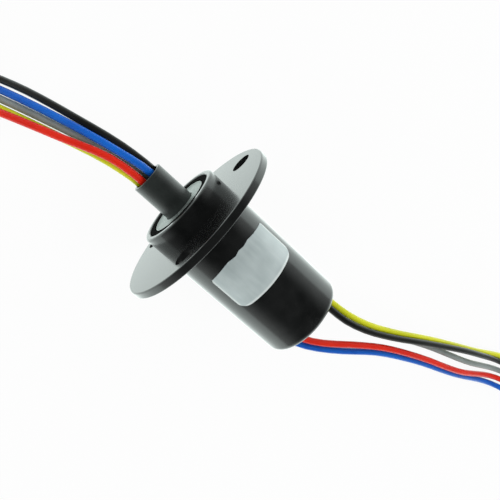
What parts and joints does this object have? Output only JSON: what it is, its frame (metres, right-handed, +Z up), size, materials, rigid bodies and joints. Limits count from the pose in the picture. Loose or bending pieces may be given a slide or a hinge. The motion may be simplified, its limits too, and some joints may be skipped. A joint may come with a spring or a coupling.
{
  "type": "slip ring",
  "caption": "Flanged capsule slip ring: a rotor tube turns on bearings inside a barrel housing, and leads leave both ends with their bare ends coiled.",
  "frame": {"origin": "centre of the flange's back face, on the rotation axis", "axes": "+X along the rotation axis towards the rotor tube, +Z up, away from the surface that the leads lie on, +Y completes the right-handed frame"},
  "size_m": [0.2428, 0.0826, 0.0446],
  "materials": {
    "housing": "black glass-filled plastic, satin gloss",
    "rear_cap": "black plastic, plain",
    "potting": "black potting resin",
    "label": "silver-grey polyester film, blank",
    "retaining_ring": "black phosphated spring steel",
    "bearing_steel": "ground bearing steel",
    "bearing_balls": "polished",
    "bearing_cage": "plain",
    "rotor_shaft": "dark grey plastic, satin",
    "contact_gold": "gold plated",
    "barrier": "plain",
    "brush_block": "laminate, plain",
    "brush_wire": "gold alloy wire",
    "lead_black": "insulation, satin",
    "lead_blue": "insulation, satin",
    "lead_grey": "insulation, satin",
    "lead_yellow": "insulation, satin",
    "lead_red": "insulation, satin",
    "lead_coil": "the leads wound side by side",
    "twist_tie": "coated wire strap"
  },
  "bodies": {
    "stator": {"housing": "housing", "rear_cap": "rear_cap", "exit_potting": "potting", "label": "label", "retaining_ring": "retaining_ring", "front_outer_race": "bearing_steel", "front_shields": "bearing_steel", "rear_outer_race": "bearing_steel", "rear_shields": "bearing_steel", "brush_block_left": "brush_block", "brush_block_right": "brush_block", "brush_set_1": "brush_wire", "brush_set_2": "brush_wire", "brush_set_3": "brush_wire", "brush_set_4": "brush_wire", "brush_set_5": "brush_wire", "stator_lead_black": "lead_black", "stator_lead_blue": "lead_blue", "stator_lead_grey": "lead_grey", "stator_lead_yellow": "lead_yellow", "stator_lead_red": "lead_red", "stator_lead_coil": "lead_coil", "stator_lead_tie": "twist_tie"},
    "rotor": {"front_inner_race": "bearing_steel", "rear_inner_race": "bearing_steel", "rotor_shaft": "rotor_shaft", "tube_potting": "potting", "contact_ring_1": "contact_gold", "contact_ring_2": "contact_gold", "contact_ring_3": "contact_gold", "contact_ring_4": "contact_gold", "contact_ring_5": "contact_gold", "barrier_1": "barrier", "barrier_2": "barrier", "barrier_3": "barrier", "barrier_4": "barrier", "barrier_5": "barrier", "barrier_6": "barrier", "rotor_lead_black": "lead_black", "rotor_lead_blue": "lead_blue", "rotor_lead_grey": "lead_grey", "rotor_lead_yellow": "lead_yellow", "rotor_lead_red": "lead_red", "rotor_lead_coil": "lead_coil", "rotor_lead_tie": "twist_tie"},
    "front_cage_and_balls": {"front_balls": "bearing_balls", "front_cage": "bearing_cage"},
    "rear_cage_and_balls": {"rear_balls": "bearing_balls", "rear_cage": "bearing_cage"}
  },
  "joints": [
    {"name": "rotor_spin", "type": "hinge", "parent": "stator", "child": "rotor", "pos_m": [0, 0, 0], "axis": [1, 0, 0], "continuous": true},
    {"name": "front_cage_spin", "type": "hinge", "parent": "stator", "child": "front_cage_and_balls", "pos_m": [0.0028, 0, 0], "axis": [1, 0, 0], "continuous": true},
    {"name": "rear_cage_spin", "type": "hinge", "parent": "stator", "child": "rear_cage_and_balls", "pos_m": [-0.0327, 0, 0], "axis": [1, 0, 0], "continuous": true}
  ],
  "couplings": [
    {"joint": "front_cage_spin", "follows": "rotor_spin", "ratio": 0.38889},
    {"joint": "rear_cage_spin", "follows": "rotor_spin", "ratio": 0.38}
  ]
}
